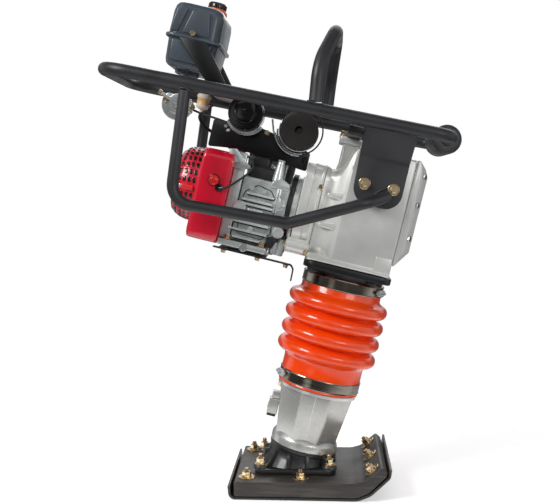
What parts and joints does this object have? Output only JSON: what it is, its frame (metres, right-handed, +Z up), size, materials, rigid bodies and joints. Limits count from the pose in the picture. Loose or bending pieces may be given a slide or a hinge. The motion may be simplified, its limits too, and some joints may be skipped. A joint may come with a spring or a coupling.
{
  "type": "jumping jack rammer",
  "caption": "Upright soil rammer: engine and tank on a looped handle drive a leaning sprung leg with a ringed bellows and a flat shoe with an upturned toe.",
  "frame": {"origin": "on the sole plane, where the ram axis meets the ground, in the machine's middle plane", "axes": "+X towards the toe and roller, +Y to the operator's left, +Z up; the ram axis leans 13.5 degrees forward in the XZ plane"},
  "size_m": [0.7558, 0.367, 1.058],
  "materials": {
    "frame_paint": "satin charcoal powder coat on steel tube and plate",
    "light_alloy": "light grey sand-cast aluminium",
    "leg_alloy": "cast aluminium with grey paint",
    "bellows_rubber": "glossy orange-red elastomer",
    "stainless": "bright stainless band",
    "black_cast": "gloss black paint on a casting",
    "sole_steel": "dark worn steel plate",
    "shoe_laminate": "dark laminated board",
    "machined_steel": "oiled machined steel",
    "red_paint": "gloss red paint on pressed sheet",
    "red_plastic": "gloss red moulded plastic",
    "black_steel": "semi-gloss black paint",
    "black_plastic": "glossy black moulded plastic",
    "filter_cover": "matte brown-black moulded cover",
    "black_rubber": "matte black rubber",
    "tank_plastic": "slate grey moulded plastic",
    "milky_plastic": "milky translucent plastic",
    "cap_plastic": "faded orange plastic",
    "cast_iron": "bare dark iron"
  },
  "bodies": {
    "upper": {"crankcase": "light_alloy", "front_cover": "light_alloy", "clutch_housing": "light_alloy", "bellows_flange": "black_steel", "guide_cylinder": "machined_steel", "upper_clamp": "stainless", "bellows": "bellows_rubber", "handle_frame": "frame_paint", "guard_tube_right": "frame_paint", "guard_tube_left": "frame_paint", "lifting_bail": "frame_paint", "side_plate_right": "frame_paint", "side_plate_left": "frame_paint", "rubber_pad_right": "black_rubber", "rubber_pad_left": "black_rubber", "cross_bracket": "black_steel", "fuel_tank": "tank_plastic", "tank_bracket": "black_steel", "fuel_cock": "milky_plastic", "fuel_filter": "milky_plastic", "fuel_hose": "black_rubber", "throttle_housing": "light_alloy", "throttle_cable": "black_rubber", "engine_block": "light_alloy", "cylinder_head": "light_alloy", "muffler": "cast_iron", "engine_shroud": "red_paint", "starter_cover": "red_paint", "engine_base_bracket": "black_steel", "switch_lead": "black_rubber", "support_plate": "black_steel", "pre_cleaner": "black_plastic", "air_filter": "filter_cover", "carburettor": "light_alloy"},
    "foot": {"sole_plate": "sole_steel", "shoe_board": "shoe_laminate", "foot_casting": "black_cast", "spring_cylinder": "leg_alloy", "slide_tube": "machined_steel", "lower_clamp": "stainless", "lower_spring": "machined_steel", "upper_spring": "machined_steel"},
    "piston": {"piston_rod": "machined_steel", "spring_piston": "machined_steel"},
    "crank": {"crank_gear": "machined_steel"},
    "conrod": {"connecting_rod": "machined_steel"},
    "pinion": {"pinion_shaft": "machined_steel", "clutch_drum": "cast_iron"},
    "engine_rotor": {"engine_shaft": "machined_steel", "flywheel": "cast_iron", "clutch_shoes": "cast_iron"},
    "roller": {"roller": "black_rubber"},
    "throttle_lever": {"throttle_lever": "machined_steel"},
    "throttle_arm": {"throttle_arm": "machined_steel"},
    "choke_lever": {"choke_lever": "machined_steel"},
    "fuel_cap": {"fuel_cap": "cap_plastic"},
    "fuel_cock_lever": {"fuel_cock_lever": "black_plastic"},
    "engine_switch": {"engine_switch": "red_plastic"},
    "starter_grip": {"starter_grip": "black_plastic"},
    "starter_pulley": {"starter_pulley": "black_plastic"}
  },
  "joints": [
    {"name": "ram_slide", "type": "slide", "parent": "upper", "child": "foot", "axis": [0.2334, 0, 0.9724], "range_m": [-0.03, 0.035], "stiffness_N_per_m": 60000, "springref_m": -0.0119, "deforming": ["bellows", "lower_spring", "upper_spring"]},
    {"name": "piston_slide", "type": "slide", "parent": "upper", "child": "piston", "axis": [0.2334, 0, 0.9724], "range_m": [0, 0.035], "stiffness_N_per_m": 4000},
    {"name": "crank_spin", "type": "hinge", "parent": "upper", "child": "crank", "pos_m": [0.15641, 0, 0.65149], "axis": [0.9724, 0, -0.2334], "continuous": true},
    {"name": "conrod_swing", "type": "hinge", "parent": "crank", "child": "conrod", "pos_m": [0.15232, 0, 0.63447], "axis": [0.9724, 0, -0.2334], "continuous": true},
    {"name": "pinion_spin", "type": "hinge", "parent": "upper", "child": "pinion", "pos_m": [0.13862, 0, 0.57739], "axis": [0.9724, 0, -0.2334], "continuous": true},
    {"name": "engine_spin", "type": "hinge", "parent": "upper", "child": "engine_rotor", "pos_m": [-0.08016, 0, 0.62992], "axis": [0.9724, 0, -0.2334], "continuous": true},
    {"name": "roller_spin", "type": "hinge", "parent": "upper", "child": "roller", "pos_m": [0.32114, 0, 0.75505], "axis": [0, 1, 0], "continuous": true},
    {"name": "throttle_turn", "type": "hinge", "parent": "upper", "child": "throttle_lever", "pos_m": [-0.27913, 0.12, 0.85067], "axis": [0, 1, 0], "range_deg": [0, 60]},
    {"name": "throttle_arm_turn", "type": "hinge", "parent": "upper", "child": "throttle_arm", "pos_m": [-0.12842, 0.0464, 0.76306], "axis": [0, 1, 0], "range_deg": [0, 75]},
    {"name": "choke_turn", "type": "hinge", "parent": "upper", "child": "choke_lever", "pos_m": [-0.1176, 0.0464, 0.74813], "axis": [0, 1, 0], "range_deg": [0, 60]},
    {"name": "fuel_cap_turn", "type": "hinge", "parent": "upper", "child": "fuel_cap", "pos_m": [-0.17379, 0, 1.02386], "axis": [0.2334, 0, 0.9724], "range_deg": [0, 90]},
    {"name": "fuel_cock_turn", "type": "hinge", "parent": "upper", "child": "fuel_cock_lever", "pos_m": [-0.23996, -0.009, 0.8896], "axis": [0, 1, 0], "range_deg": [0, 90]},
    {"name": "engine_switch_turn", "type": "hinge", "parent": "upper", "child": "engine_switch", "pos_m": [-0.16553, -0.1, 0.67057], "axis": [0, 1, 0], "range_deg": [0, 60]},
    {"name": "starter_pull", "type": "slide", "parent": "upper", "child": "starter_grip", "axis": [0, 1, 0], "range_m": [0, 0.45], "stiffness_N_per_m": 20},
    {"name": "starter_pulley_turn", "type": "hinge", "parent": "upper", "child": "starter_pulley", "pos_m": [-0.22505, 0, 0.6647], "axis": [0.9724, 0, -0.2334], "range_deg": [0, 720]}
  ],
  "couplings": [
    {"joint": "pinion_spin", "follows": "crank_spin", "ratio": -4},
    {"joint": "conrod_swing", "follows": "crank_spin", "ratio": -1},
    {"joint": "throttle_arm_turn", "follows": "throttle_turn", "ratio": 1},
    {"joint": "starter_pulley_turn", "follows": "starter_pull", "rad_per_m": 27.778}
  ]
}
